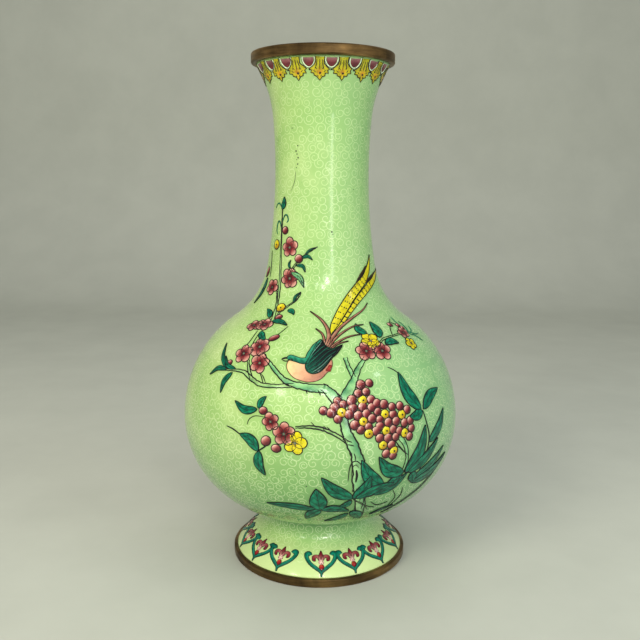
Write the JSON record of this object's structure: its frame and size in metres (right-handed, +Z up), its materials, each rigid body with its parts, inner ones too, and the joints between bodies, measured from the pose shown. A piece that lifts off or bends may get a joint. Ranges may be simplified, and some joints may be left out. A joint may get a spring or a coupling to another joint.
{
  "type": "vase",
  "caption": "Bottle vase with a round belly, tall flared neck and domed foot, for flowers or display; bird and blossom enamel picture.",
  "frame": {"origin": "middle of the plane the foot stands on", "axes": "+Z up along the vase's axis; the picture faces -Y; +X is to the viewer's right"},
  "size_m": [0.1676, 0.1676, 0.305],
  "materials": {
    "brass_band": "aged, brown tarnish over satin brass",
    "copper_core": "satin spun copper",
    "ground_enamel": "glossy fired enamel over fine scroll wires",
    "counter_enamel": "satin counter-enamel",
    "yellow_enamel": "glossy fired glass enamel",
    "red_enamel": "glossy fired glass enamel",
    "pink_enamel": "glossy fired glass enamel",
    "teal_enamel": "glossy fired glass enamel",
    "dark_green_enamel": "glossy fired glass enamel",
    "celadon_enamel": "glossy fired glass enamel"
  },
  "bodies": {
    "root": {"neck_core": "copper_core", "shoulder_core": "copper_core", "upper_belly_core": "copper_core", "belly_core": "copper_core", "bowl_core": "copper_core", "base_disc": "copper_core", "foot_core": "copper_core", "foot_enamel": "ground_enamel", "body_enamel": "ground_enamel", "inner_enamel": "counter_enamel", "foot_inner_enamel": "counter_enamel", "mouth_band": "brass_band", "foot_band": "brass_band", "waist_ring": "brass_band", "rim_lappets": "yellow_enamel", "rim_half_rounds": "red_enamel", "foot_heart_frames": "teal_enamel", "foot_palmettes": "red_enamel", "foot_drops": "red_enamel", "bird_wing": "dark_green_enamel", "bird_body": "pink_enamel", "bird_plumes": "red_enamel", "bird_tail": "yellow_enamel", "yellow_berries": "yellow_enamel", "red_berries": "red_enamel", "yellow_blossoms": "yellow_enamel", "red_blossoms": "red_enamel", "buds": "red_enamel", "dark_leaves": "dark_green_enamel", "sprig_leaves": "teal_enamel", "trunk_and_branches": "celadon_enamel", "twigs": "dark_green_enamel"}
  },
  "joints": []
}
